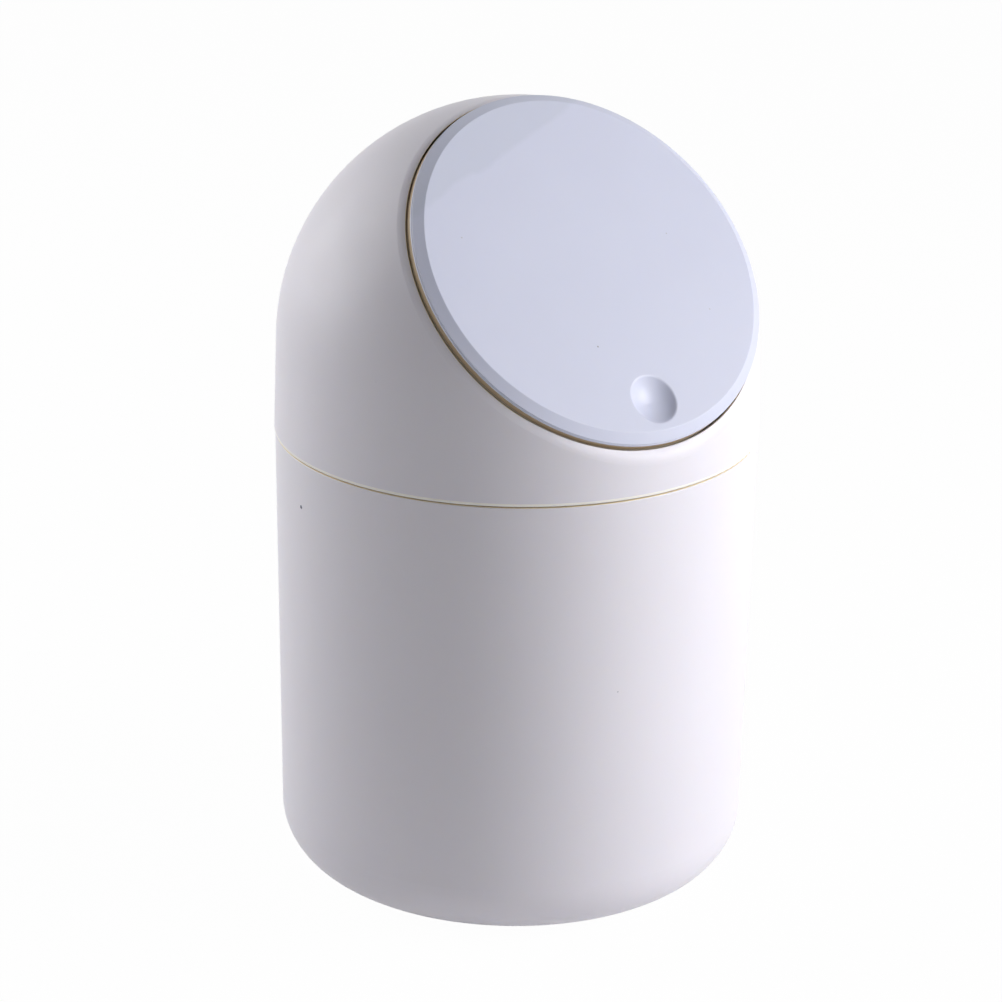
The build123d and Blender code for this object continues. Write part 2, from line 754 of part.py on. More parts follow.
with BuildPart() as latch_housing:
    with BuildSketch(at_h(ledge_bottom)):
        with Locations((0, catch_v)):
            Rectangle(2 * housing_half_width, 2 * housing_half_depth)
    extrude(amount=-housing_length)
    with BuildSketch(at_h(ledge_bottom)):
        with Locations((0, catch_v)):
            RectangleRounded(
                2 * (housing_half_width + housing_ear_length), 2 * cavity_half_depth, plate_corner
            )
    extrude(amount=-housing_ear_height)
    with BuildSketch(at_h(cavity_top)):
        with Locations((0, catch_v)):
            Rectangle(2 * cavity_half_width, 2 * cavity_half_depth)
    extrude(amount=-housing_length, mode=Mode.SUBTRACT)
    with Locations(*on_face([(0, catch_v)], ledge_bottom)):
        Hole(stem_radius + stem_clearance, depth=housing_top)
    with Locations(*on_face(catch_screw_places, ledge_bottom)):
        Hole(shank_radius + screw_hole_clearance, depth=catch_screw_bite)
    # Window for the follower in the wall beside the slider, and the rivets of its cover.
    with BuildSketch(at_v(housing_face_v)):
        with Locations(((cam_side_x - cam_lane) / 2, (cam_tip_h + cam_pivot_h) / 2)):
            Rectangle(
                cam_side_x + cam_lane + 2 * cam_lane_clearance, cam_arm + 2 * (cam_lane + cam_lane_clearance)
            )
    extrude(amount=housing_wall, mode=Mode.SUBTRACT)
    with BuildSketch(at_v(housing_face_v)):
        with Locations(*rivet_places):
            Circle(rivet_radius)
    extrude(amount=-side_cover_thickness - rivet_proud)
finish(latch_housing, "latch_housing")

with BuildPart() as latch_side_cover:
    with BuildSketch(at_v(housing_face_v)):
        with Locations((0, side_cover_middle)):
            RectangleRounded(2 * housing_half_width, side_cover_length, plate_corner)
        with Locations(*rivet_places):
            Circle(rivet_radius + rivet_clearance, mode=Mode.SUBTRACT)
        with Locations((0, cam_pivot_h)):
            Circle(cam_wire_radius + running_clearance, mode=Mode.SUBTRACT)
    extrude(amount=-side_cover_thickness)
finish(latch_side_cover, "latch_side_cover")

with BuildPart() as latch_cap:
    with BuildSketch(at_h(housing_bottom)):
        with Locations((0, catch_v)):
            Rectangle(2 * housing_half_width, 2 * housing_half_depth)
    extrude(amount=-cap_flange)
    with BuildSketch(at_h(housing_bottom)):
        with Locations((0, catch_v)):
            Rectangle(2 * slider_half_width, 2 * (cavity_half_depth - slider_clearance))
    extrude(amount=cap_plug)
    with BuildSketch(at_h(cap_top)):
        with Locations((0, catch_v)):
            Circle(cap_peg_radius)
    extrude(amount=cap_peg_height)
finish(latch_cap, "latch_cap")

# ------------------------------------------------------------------ catch follower and spring
leg_v = housing_face_v - housing_wall / 2 - cam_leg_shift
with BuildPart() as latch_cam_pin:
    with BuildLine(side_plane) as wire_path:
        FilletPolyline(
            (housing_face_v + side_cover_thickness, cam_pivot_h),
            (leg_v, cam_pivot_h),
            (leg_v, cam_tip_h),
            (slider_face_v - cam_tip_reach, cam_tip_h),
            radius=cam_bend,
        )
    with BuildSketch(Plane(origin=wire_path.line @ 0, z_dir=wire_path.line % 0)):
        Circle(cam_wire_radius)
    sweep()
finish(latch_cam_pin, "latch_cam_pin")

spring_seat = cap_top + spring_wire / 2
spring_roof = slider_bottom + spring_bore_depth - spring_wire / 2
with BuildPart() as latch_spring:
    coil = Helix(
        (spring_roof - spring_seat) / catch_spring_turns,
        spring_roof - spring_seat,
        catch_spring_mean_radius,
    )
    coil = at_h(spring_seat).location * Location((0, catch_v, 0)) * coil
    with BuildSketch(Plane(origin=coil @ 0, z_dir=coil % 0)):
        Circle(spring_wire / 2)
    sweep(path=coil, is_frenet=True)
finish(latch_spring, "latch_spring")

# ------------------------------------------------------------------ screws
screws(
    "cover_screws",
    facing_in(cover_screw_places, floor_bottom + cover_counterbore),
    small_head_radius,
    small_shank_radius,
    cover_screw_length,
    small_head_height,
)
screws(
    "striker_screw",
    facing_in([(0, catch_v)], striker_face),
    small_head_radius,
    small_shank_radius,
    striker_screw_length,
    0,
)
screws(
    "hinge_screws",
    on_face(bracket_screw_places, plate_thickness - ledge_depth),
    head_radius,
    shank_radius,
    hinge_screw_length,
    head_height,
)
screws(
    "latch_screws",
    on_face(catch_screw_places, -ledge_depth),
    head_radius,
    shank_radius,
    catch_screw_length,
    0,
)
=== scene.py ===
# %% [markdown]
# # A push top countertop bin
# The bin has two big shells, a bucket and a domed hood, and a slanted round mouth in the hood that a
# flap closes. The solids are already exact, so they stay as they are. Blender gives each one its
# finish, adds the few pieces that a rigid solid can't show, and lights the whole for one plain picture.
# This first cell loads the solids. Nothing that it brings in is moved or reshaped afterwards.

# %% Load the solids
import json
import math

import bpy
from mathutils import Matrix, Vector


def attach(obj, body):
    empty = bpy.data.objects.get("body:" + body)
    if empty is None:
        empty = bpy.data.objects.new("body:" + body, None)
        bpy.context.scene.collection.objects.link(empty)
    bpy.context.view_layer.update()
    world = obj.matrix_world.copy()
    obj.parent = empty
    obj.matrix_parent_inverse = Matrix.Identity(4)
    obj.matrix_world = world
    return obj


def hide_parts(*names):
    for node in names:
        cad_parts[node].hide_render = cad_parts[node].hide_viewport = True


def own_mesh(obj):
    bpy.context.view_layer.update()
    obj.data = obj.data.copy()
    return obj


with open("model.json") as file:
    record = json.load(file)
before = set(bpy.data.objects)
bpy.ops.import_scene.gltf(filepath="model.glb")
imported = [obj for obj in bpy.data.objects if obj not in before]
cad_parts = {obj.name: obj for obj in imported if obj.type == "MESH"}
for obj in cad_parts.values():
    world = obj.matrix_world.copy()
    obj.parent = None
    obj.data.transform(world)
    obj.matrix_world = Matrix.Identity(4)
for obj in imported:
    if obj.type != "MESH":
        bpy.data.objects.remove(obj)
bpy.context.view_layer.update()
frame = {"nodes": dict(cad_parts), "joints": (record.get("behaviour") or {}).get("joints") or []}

nodes = frame["nodes"]

# %% [markdown]
# The loader leaves every solid selected, and Blender's operators act on all that is selected. So the
# selection is emptied before anything is made.

# %% Empty the selection
bpy.ops.object.select_all(action="DESELECT")
print("selected now:", len(bpy.context.selected_objects))

# %% [markdown]
# The bin is seen from above and from its left front, with a long lens that keeps its sides almost
# parallel. The camera is built from the angles a photographer would note: how far round it stands,
# how high, how far away, and a slight roll of the head.

# %% Camera
camera_azimuth = math.radians(-37.0473)
camera_height = math.radians(20.0454)
camera_roll = math.radians(0.7769)
camera_distance = 0.905195
camera_side_step = -0.003708
camera_aim_height = 0.098257
camera_lens = 124.737

back = Vector((
    math.sin(camera_azimuth) * math.cos(camera_height),
    -math.cos(camera_azimuth) * math.cos(camera_height),
    math.sin(camera_height),
))
right = Vector((math.cos(camera_azimuth), math.sin(camera_azimuth), 0))
up = back.cross(right)
rolled_right = math.cos(camera_roll) * right + math.sin(camera_roll) * up
rolled_up = math.cos(camera_roll) * up - math.sin(camera_roll) * right

bpy.ops.object.camera_add()
camera = bpy.context.object
camera.name = "camera"
camera.data.sensor_width = 36
camera.data.lens = camera_lens
camera.data.clip_end = 20
place = back * camera_distance + right * camera_side_step + Vector((0, 0, camera_aim_height))
turn = Matrix((rolled_right, rolled_up, back)).transposed()
camera.matrix_world = Matrix.Translation(place) @ turn.to_4x4()
bpy.context.scene.camera = camera
print("camera at", [round(c, 3) for c in place])

# %% [markdown]
# The flap has its own frame, because everything on it is square to its face and not to the worktop.
# Three directions describe it: across, up the slope and out of the face. The centre of the face is
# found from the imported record's hinge, so the picture can't drift from the solids.

# %% The flap's frame
face_tilt = math.radians(41.7)
hinge_rise = 0.043
hinge_depth = 0.00315

out_of_face = Vector((0, -math.cos(face_tilt), math.sin(face_tilt)))
up_slope = Vector((0, math.sin(face_tilt), math.cos(face_tilt)))
across = Vector((1, 0, 0))
hinge_place = Vector(next(j for j in frame["joints"] if j["name"] == "flap_hinge")["pos_m"])
face_centre = hinge_place - up_slope * hinge_rise + out_of_face * hinge_depth
flap_turn = Matrix((across, up_slope, out_of_face)).transposed().to_euler()


def on_flap(x, v, h):
    """A point x across, v up the slope and h out of the flap's face, in metres."""
    return face_centre + across * x + up_slope * v + out_of_face * h


print("face centre", [round(c, 5) for c in face_centre])

# %% [markdown]
# A finish is a small tree of nodes. All of them start alike: one surface shader, and the point's own
# place in metres, which stays put on the piece whatever the camera does. Two helpers keep the cells
# below short. One starts the tree, the other adds a node, sets its plain values and wires its inputs.

# %% Two helpers for node trees
def start_finish(name):
    """A new material with its surface shader and the object's coordinates."""
    finish = bpy.data.materials.new(name)
    finish.use_nodes = True
    tree = finish.node_tree
    shader = tree.nodes["Principled BSDF"]
    place_node = tree.nodes.new("ShaderNodeTexCoord")
    return finish, tree, shader, place_node.outputs["Object"]


def node(tree, kind, values=None, wires=None, **settings):
    """Adds a node: settings are its menus, values its plain inputs, wires what feeds its inputs."""
    made = tree.nodes.new(kind)
    for key, value in settings.items():
        setattr(made, key, value)
    for key, value in (values or {}).items():
        made.inputs[key].default_value = value
    for key, source in (wires or {}).items():
        tree.links.new(source, made.inputs[key])
    return made


print("helpers ready")

# %% [markdown]
# Moulded plastic looks plain but is never one flat colour. The mould's polish leaves a fine grain, the
# melt leaves a slow unevenness in sheen and shade, and a few dark specks of burnt plastic stay in the
# surface. So the finish has slow noise for the shade, another for the sheen, two sizes of bump, and
# cells in which only a few points are let through as specks.

# %% Moulded plastic
burnt_plastic = (0.22, 0.2, 0.19)
plastic_ior = 1.49
peel_depth, grain_depth = 0.00006, 0.00003
noise_low, noise_high = 0.3, 0.7
speck_core, speck_edge, speck_strength = 0.010, 0.022, 0.45


def moulded_plastic(name, light, shade, sheen, grain=0.10, peel=0.10, speck_share=0.03):
    """A satin plastic: two close colours, a sheen (lowest and highest roughness) and fine bumps."""
    finish, tree, shader, place_out = start_finish(name)
    slow = node(tree, "ShaderNodeTexNoise", {"Scale": 28, "Detail": 3}, {"Vector": place_out})
    colour = node(
        tree, "ShaderNodeMix", {6: (*shade, 1), 7: (*light, 1)}, {0: slow.outputs["Fac"]}, data_type="RGBA"
    )
    cells = node(tree, "ShaderNodeTexVoronoi", {"Scale": 120}, {"Vector": place_out})
    chance = node(tree, "ShaderNodeSeparateColor", wires={0: cells.outputs["Color"]})
    rare = node(tree, "ShaderNodeMath", {1: speck_share}, {0: chance.outputs[0]}, operation="LESS_THAN")
    size = node(
        tree,
        "ShaderNodeMapRange",
        {1: speck_core, 2: speck_edge, 3: speck_strength, 4: 0},
        {0: cells.outputs["Distance"]},
    )
    speck = node(tree, "ShaderNodeMath", wires={0: rare.outputs[0], 1: size.outputs[0]}, operation="MULTIPLY")
    specked = node(
        tree,
        "ShaderNodeMix",
        {7: (*burnt_plastic, 1)},
        {0: speck.outputs[0], 6: colour.outputs[2]},
        data_type="RGBA",
    )
    tree.links.new(specked.outputs[2], shader.inputs["Base Color"])
    patches = node(tree, "ShaderNodeTexNoise", {"Scale": 55, "Detail": 4}, {"Vector": place_out})
    gloss = node(
        tree,
        "ShaderNodeMapRange",
        {1: noise_low, 2: noise_high, 3: sheen[0], 4: sheen[1]},
        {0: patches.outputs["Fac"]},
    )
    tree.links.new(gloss.outputs[0], shader.inputs["Roughness"])
    fine = node(tree, "ShaderNodeTexNoise", {"Scale": 3200, "Detail": 2}, {"Vector": place_out})
    skin = node(tree, "ShaderNodeTexNoise", {"Scale": 420, "Detail": 1}, {"Vector": place_out})
    peel_bump = node(
        tree, "ShaderNodeBump", {"Strength": peel, "Distance": peel_depth}, {"Height": skin.outputs["Fac"]}
    )
    grain_bump = node(
        tree,
        "ShaderNodeBump",
        {"Strength": grain, "Distance": grain_depth},
        {"Height": fine.outputs["Fac"], "Normal": peel_bump.outputs["Normal"]},
    )
    tree.links.new(grain_bump.outputs["Normal"], shader.inputs["Normal"])
    shader.inputs["IOR"].default_value = plastic_ior
    return finish, tree, shader, place_out


def let_light_in(shader, share):
    """Light enters thin moulded walls and comes out again warmer, which softens their edges."""
    shader.inputs["Subsurface Weight"].default_value = share
    shader.inputs["Subsurface Radius"].default_value = (1, 0.75, 0.5)
    shader.inputs["Subsurface Scale"].default_value = 0.0015


def paint_over(parts, mask_out, colour):
    """Mixes a colour into a finish wherever the mask is 1."""
    tree, shader = parts[1], parts[2]
    under = shader.inputs["Base Color"].links[0].from_socket
    mixed = node(tree, "ShaderNodeMix", {7: (*colour, 1)}, {0: mask_out, 6: under}, data_type="RGBA")
    tree.links.new(mixed.outputs[2], shader.inputs["Base Color"])


def fleck(parts, place, radius, colour):
    """A fleck of burnt plastic: a small blot round one point, with a ragged edge."""
    tree, place_out = parts[1], parts[3]
    ragged = node(tree, "ShaderNodeTexNoise", {"Scale": 2500, "Detail": 1}, {"Vector": place_out})
    reach = node(tree, "ShaderNodeVectorMath", {1: place}, {0: place_out}, operation="DISTANCE")
    edge = node(tree, "ShaderNodeMath", {1: radius, 2: radius / 2}, operation="MULTIPLY_ADD")
    tree.links.new(ragged.outputs["Fac"], edge.inputs[0])
    blot = node(
        tree, "ShaderNodeMath", wires={0: reach.outputs["Value"], 1: edge.outputs[0]}, operation="LESS_THAN"
    )
    paint_over(parts, blot.outputs[0], colour)


print("plastic recipe ready")

# %% [markdown]
# The flap's cover is a cool pale grey. Wiping with a damp cloth has left a thin film along the upper
# left of its face, and four small flecks show in the face. The film starts at a straight line that a
# slow noise pushes to and fro, and it darkens the plastic by less than a tenth.

# %% The flap's cool grey
flap_light, flap_shade = (0.65, 0.67, 0.813), (0.611, 0.63, 0.773)
cover_glow = 0.1
film_start, film_way = (-0.016, 0.031), across * -0.349 + up_slope * 0.937
film_wander, film_fade, film_strength = 0.005, 0.0015, 0.75
film_colour = (0.571, 0.596, 0.719)
fleck_brown, fleck_grey = (0.30, 0.28, 0.30), (0.50, 0.50, 0.57)
fleck_radius = 0.0002
face_flecks = [
    (-0.0092, -0.0216, fleck_brown),
    (-0.0337, 0.0133, fleck_grey),
    (0.0257, 0.0041, fleck_grey),
    (0.0282, -0.0181, fleck_grey),
]

flap_parts = moulded_plastic("flap_plastic", flap_light, flap_shade, (0.36, 0.46))
flap_tree = flap_parts[1]
wander = node(flap_tree, "ShaderNodeTexNoise", {"Scale": 90, "Detail": 3}, {"Vector": flap_parts[3]})
along_way = node(
    flap_tree, "ShaderNodeVectorMath", {1: film_way}, {0: flap_parts[3]}, operation="DOT_PRODUCT"
)
pushed = node(flap_tree, "ShaderNodeMath", {1: film_wander}, operation="MULTIPLY_ADD")
flap_tree.links.new(wander.outputs["Fac"], pushed.inputs[0])
flap_tree.links.new(along_way.outputs["Value"], pushed.inputs[2])
film_edge = on_flap(*film_start, 0).dot(film_way) + film_wander / 2
film = node(
    flap_tree,
    "ShaderNodeMapRange",
    {1: film_edge, 2: film_edge + film_fade, 4: film_strength},
    {0: pushed.outputs[0]},
)
paint_over(flap_parts, film.outputs[0], film_colour)
for x, v, colour in face_flecks:
    fleck(flap_parts, on_flap(x, v, 0), fleck_radius, colour)
let_light_in(flap_parts[2], cover_glow)
flap_plastic = flap_parts[0]
print("made", flap_plastic.name, "with", len(face_flecks), "flecks")

# %% [markdown]
# The shells are a warmer white than the flap, and let a little more light in. The bucket has one dark
# blue spot and a grey fleck. The hood gets the same finish in a material of its own, because other
# bands are painted on it further down.

# %% Shell plastic
shell_light = (0.81, 0.785, 0.855)
shell_shade = (0.78, 0.755, 0.825)
shell_sheen = (0.42, 0.52)
shell_glow = 0.2
spot_place, spot_radius, spot_blue = (-0.0616, 0.0080, 0.1071), 0.0005, (0.04, 0.04, 0.09)
bucket_fleck_place = (-0.0130, -0.0603, 0.0686)

bucket_parts = moulded_plastic("bucket_plastic", shell_light, shell_shade, shell_sheen)
fleck(bucket_parts, spot_place, spot_radius, spot_blue)
fleck(bucket_parts, bucket_fleck_place, fleck_radius, fleck_grey)
let_light_in(bucket_parts[2], shell_glow)
bucket_plastic = bucket_parts[0]

hood_parts = moulded_plastic("hood_plastic", shell_light, shell_shade, shell_sheen)
print("made", bucket_plastic.name, hood_parts[0].name)

# %% [markdown]
# In the joints, where the hood stands on the bucket and round the mouth's wall, the narrow gaps lie in
# shade, and light that bounces in them comes out warm. That is painted shade: there the same finish turns
# to cream, and on the flap's rim to tan. The hood's lower edge is rubbed pale. Each such place is a band
# round an axis. Its mask compares the distance from the axis and the height along it with the band's
# own, so it touches nothing else.

# %% A mask for a band
def band_mask(parts, middle, turn, radius, margin, half_height):
    """1 on a band round the axis through a middle point, and 0 elsewhere."""
    tree = parts[1]
    turned = node(
        tree,
        "ShaderNodeMapping",
        {"Location": middle, "Rotation": turn},
        {"Vector": parts[3]},
        vector_type="TEXTURE",
    )
    split = node(tree, "ShaderNodeSeparateXYZ", wires={0: turned.outputs[0]})
    flat = node(tree, "ShaderNodeCombineXYZ", wires={"X": split.outputs["X"], "Y": split.outputs["Y"]})
    reach = node(tree, "ShaderNodeVectorMath", wires={0: flat.outputs[0]}, operation="LENGTH")
    near = node(
        tree, "ShaderNodeMath", {1: radius, 2: margin}, {0: reach.outputs["Value"]}, operation="COMPARE"
    )
    level = node(tree, "ShaderNodeMath", {1: 0, 2: half_height}, {0: split.outputs["Z"]}, operation="COMPARE")
    both_masks = node(
        tree, "ShaderNodeMath", wires={0: near.outputs[0], 1: level.outputs[0]}, operation="MULTIPLY"
    )
    return both_masks.outputs[0]


def flap_band(parts, radius, margin, top, bottom):
    """A band round the flap's axis, between two heights over its face."""
    return band_mask(parts, on_flap(0, 0, (top + bottom) / 2), flap_turn, radius, margin, (top - bottom) / 2)


print("band mask ready")

# %% [markdown]
# Three bands are painted on the shells: a painted warm shade in cream on the bucket's neck where it
# enters the hood, the same painted shade on the wall of the mouth inside the gap round the flap, and a
# pale worn line on the hood's lower edge.
# Heights on the flap's axis are counted from its face, so those inside the mouth are negative.

# %% Painted gap shade and worn bands
# painted shade: the warm dark of light bouncing in the joints' narrow gaps
painted_gap_shade = (0.86, 0.72, 0.48)
worn_edge = (0.95, 0.92, 0.88)
upright = (0, 0, 0)

neck_middle, neck_radius, neck_margin, neck_half_height = (0, 0, 0.1198), 0.061, 0.0016, 0.0008
neck_band = band_mask(bucket_parts, neck_middle, upright, neck_radius, neck_margin, neck_half_height)
# painted shade in the seam where the bucket's neck enters the hood
paint_over(bucket_parts, neck_band, painted_gap_shade)

wall_radius, wall_margin, wall_top, wall_bottom = 0.04945, 0.0001, -0.0038, -0.0089
# painted shade on the mouth's wall inside the gap round the flap
paint_over(hood_parts, flap_band(hood_parts, wall_radius, wall_margin, wall_top, wall_bottom), painted_gap_shade)

hem_middle, hem_radius, hem_margin, hem_half_height = (0, 0, 0.1199), 0.0625, 0.0008, 0.00035
hem_band = band_mask(hood_parts, hem_middle, upright, hem_radius, hem_margin, hem_half_height)
paint_over(hood_parts, hem_band, worn_edge)
let_light_in(hood_parts[2], shell_glow)
hood_plastic = hood_parts[0]
print("painted the joints of", bucket_plastic.name, "and", hood_plastic.name)

# %% [markdown]
# The flap's base is an ivory moulding. Its rim shows in the gap round the cover. The upper part of the
# rim has the cover's colour, and the part below it, deep in the gap, gets a painted tan shade.

# %% The flap's base
base_light, base_shade = (0.78, 0.74, 0.68), (0.74, 0.70, 0.63)
# painted shade for the lower part of the rim, which lies deep in the gap
painted_rim_shade = (0.42, 0.31, 0.19)
rim_radius, rim_margin = 0.04895, 0.0003
rim_parting, rim_foot = -0.0024, -0.0038

base_parts = moulded_plastic("flap_base_plastic", base_light, base_shade, shell_sheen)
paint_over(base_parts, flap_band(base_parts, rim_radius, rim_margin, 0, rim_parting), flap_light)
# the lower rim gets the painted shade
paint_over(base_parts, flap_band(base_parts, rim_radius, rim_margin, rim_parting, rim_foot), painted_rim_shade)
let_light_in(base_parts[2], shell_glow)
flap_base_plastic = base_parts[0]
print("made", flap_base_plastic.name)

# %% [markdown]
# The catch and the hinge bracket are small technical mouldings, of a hard slippery plastic with a finer,
# duller skin. They take the same recipe with other numbers and no specks.

# %% Catch plastics
catch_plastic = moulded_plastic(
    "catch_plastic", (0.42, 0.43, 0.45), (0.38, 0.39, 0.41), (0.5, 0.62), grain=0.2, speck_share=0
)[0]
slider_plastic = moulded_plastic(
    "slider_plastic", (0.045, 0.045, 0.05), (0.035, 0.035, 0.04), (0.42, 0.55), grain=0.2, speck_share=0
)[0]
print("made", catch_plastic.name, slider_plastic.name)

# %% [markdown]
# The pin, springs, screws and striker are steel, drawn or turned. Drawn wire has fine lines along it
# and turned heads have rings, and both come out as noise that is squeezed in one direction. The sheen
# changes along those lines, which is what the eye reads as metal.

# %% Steel and magnet
line_depth = 0.00001
stain_share = 0.82


def drawn_metal(name, colour, sheen, squeeze):
    """A metal with fine lines: noise squeezed along one axis drives its sheen and a faint bump."""
    finish, tree, shader, place_out = start_finish(name)
    squeezed = node(tree, "ShaderNodeMapping", {"Scale": squeeze}, {"Vector": place_out})
    lines = node(tree, "ShaderNodeTexNoise", {"Scale": 1500, "Detail": 3}, {"Vector": squeezed.outputs[0]})
    stain = node(tree, "ShaderNodeTexNoise", {"Scale": 240, "Detail": 2}, {"Vector": place_out})
    tint = node(
        tree,
        "ShaderNodeMix",
        {6: (*[c * stain_share for c in colour], 1), 7: (*colour, 1)},
        {0: stain.outputs["Fac"]},
        data_type="RGBA",
    )
    gloss = node(
        tree,
        "ShaderNodeMapRange",
        {1: noise_low, 2: noise_high, 3: sheen[0], 4: sheen[1]},
        {0: lines.outputs["Fac"]},
    )
    bump = node(
        tree, "ShaderNodeBump", {"Strength": 0.2, "Distance": line_depth}, {"Height": lines.outputs["Fac"]}
    )
    tree.links.new(tint.outputs[2], shader.inputs["Base Color"])
    tree.links.new(gloss.outputs[0], shader.inputs["Roughness"])
    tree.links.new(bump.outputs["Normal"], shader.inputs["Normal"])
    shader.inputs["Metallic"].default_value = 1
    return finish


bright_steel = drawn_metal("bright_steel", (0.62, 0.62, 0.63), (0.22, 0.38), (0.08, 1, 1))
spring_steel = drawn_metal("spring_steel", (0.5, 0.5, 0.52), (0.25, 0.45), (1, 1, 0.2))
nickel = drawn_metal("nickel", (0.68, 0.66, 0.63), (0.12, 0.24), (1, 1, 1))
print("made", bright_steel.name, spring_steel.name, nickel.name)

# %% [markdown]
# Each solid gets its finish in its own material slot. Only the slot's content changes, so the mesh
# stays exactly as the solid gave it.

# %% Finish the solids
finish_of = {
    "bucket": bucket_plastic,
    "hood": hood_plastic,
    "flap_cover": flap_plastic,
    "flap_base": flap_base_plastic,
    "cover_screws": bright_steel,
    "hinge_bracket": catch_plastic,
    "hinge_screws": bright_steel,
    "hinge_pin": bright_steel,
    "hinge_spring_left": spring_steel,
    "hinge_spring_right": spring_steel,
    "striker_plate": bright_steel,
    "striker_screw": bright_steel,
    "latch_housing": catch_plastic,
    "latch_screws": bright_steel,
    "latch_plunger": slider_plastic,
    "latch_magnet": nickel,
    "latch_spring": spring_steel,
    "latch_cam_pin": spring_steel,
    "latch_side_cover": catch_plastic,
    "latch_cap": catch_plastic,
}
for name, finish in finish_of.items():
    for slot in nodes[name].material_slots:
        slot.material = finish
print("finished", len(finish_of), "solids")

# %% [markdown]
# The springs are what a rigid solid can't show, because they bend while the bin is used. Each is wound
# again here as a wire that can be split or squeezed. A ring of points, as thick as the wire, is turned
# round the Z axis by a Screw modifier, which is how such a spring is really wound. The coil is then
# carried to its place in one move, and the move is applied to the mesh.

# %% Winding a spring
spring_wire = 0.0005
ring_reach = 0.6 * spring_wire
wire_sides = 12
steps_a_turn = 30


def pick_ring(piece, middle):
    """Selects the points of the wire's end ring, found by its middle, in edit mode."""
    bpy.ops.object.mode_set(mode="OBJECT")
    for point in piece.data.vertices:
        point.select = (point.co - middle).length < ring_reach
    bpy.ops.object.mode_set(mode="EDIT")


def wind(name, mean_radius, turn_angle, rise):
    """A coil on the Z axis that starts on the X axis."""
    bpy.ops.mesh.primitive_circle_add(
        vertices=wire_sides,
        radius=spring_wire / 2,
        location=(mean_radius, 0, 0),
        rotation=(math.pi / 2, 0, 0),
    )
    piece = bpy.context.object
    piece.name = name
    bpy.ops.object.transform_apply(location=True, rotation=True, scale=True)
    screw = piece.modifiers.new("screw", "SCREW")
    screw.axis = "Z"
    screw.angle = turn_angle
    screw.screw_offset = rise
    screw.steps = screw.render_steps = round(steps_a_turn * turn_angle / math.tau)
    screw.use_smooth_shade = True
    bpy.ops.object.modifier_apply(modifier="screw")
    return piece


def close_end(piece, middle, leg=None):
    """Draws one end of the wire out into a straight leg, where it has one, and closes it."""
    bpy.ops.object.mode_set(mode="EDIT")
    bpy.ops.mesh.select_mode(type="VERT")
    bpy.ops.mesh.select_all(action="DESELECT")
    pick_ring(piece, middle)
    if leg is not None:
        bpy.ops.mesh.extrude_region_move(TRANSFORM_OT_translate={"value": leg})
    bpy.ops.mesh.edge_face_add()
    bpy.ops.object.mode_set(mode="OBJECT")


def settle(piece, frame_matrix, mirror=False):
    """Carries a finished coil to its place, applies the move and turns its faces outwards."""
    if mirror:
        frame_matrix = Matrix.Diagonal((-1, 1, 1, 1)) @ frame_matrix
    piece.data.transform(frame_matrix)
    bpy.ops.object.mode_set(mode="EDIT")
    bpy.ops.mesh.select_all(action="SELECT")
    bpy.ops.mesh.normals_make_consistent(inside=False)
    bpy.ops.object.mode_set(mode="OBJECT")
    piece.data.materials.append(spring_steel)
    bpy.ops.object.select_all(action="DESELECT")


print("winding ready, wire", spring_wire)

# %% [markdown]
# The catch's spring is a plain compression spring. A press drives the slider 2 mm down on it. It is
# slim enough to stay clear of the slider's bore as that swings with the press.

# %% The catch's spring
catch_v = -0.038
catch_seat_h, catch_roof_h = -0.03075, -0.02025
catch_radius = 0.00195
catch_turns = 7

catch_length = catch_roof_h - catch_seat_h
catch_seat = on_flap(0, catch_v, catch_seat_h)
catch_spring = wind("catch_spring", catch_radius, catch_turns * math.tau, catch_length)
close_end(catch_spring, Vector((catch_radius, 0, 0)))
close_end(catch_spring, Vector((catch_radius, 0, catch_length)))
catch_frame = Matrix((across, up_slope, out_of_face)).transposed().to_4x4()
settle(catch_spring, Matrix.Translation(catch_seat) @ catch_frame)
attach(catch_spring, "hood")
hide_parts("latch_spring")
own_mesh(catch_spring)
print("catch spring length", round(catch_length, 5), "faces", len(catch_spring.data.polygons))

# %% [markdown]
# Each hinge spring sits round the pin. One leg rests on the bracket and the other pushes up the flap,
# so the wire is split in two: the coil with the fixed leg belongs to the hood, and the last third of a
# turn with the free leg swings with the flap. The swinging third lies along the coil's last turn, so
# the wire looks whole at every angle. The left spring is the right one's mirror image.

# %% The hinge's springs
hinge_radius = 0.0014
hinge_turns = 6
hinge_pitch = 0.0006
coil_outer_x = 0.0075
fixed_leg_drop, free_leg_drop = math.radians(15), math.radians(3.2)
leg_length = 0.0083
swinging_turn = math.radians(120)
leg_way = Vector((0, leg_length, leg_length * hinge_pitch / (math.tau * hinge_radius)))

whole_turn = math.tau * hinge_turns + math.pi + free_leg_drop - fixed_leg_drop
coil_rise = hinge_pitch * whole_turn / math.tau
coil_start_x = coil_outer_x - coil_rise
drop_way = up_slope * math.sin(fixed_leg_drop) - out_of_face * math.cos(fixed_leg_drop)
coil_frame = Matrix((drop_way, across.cross(drop_way), across)).transposed().to_4x4()
coil_place = Matrix.Translation(hinge_place + across * coil_start_x) @ coil_frame
coil_start = Vector((hinge_radius, 0, 0))


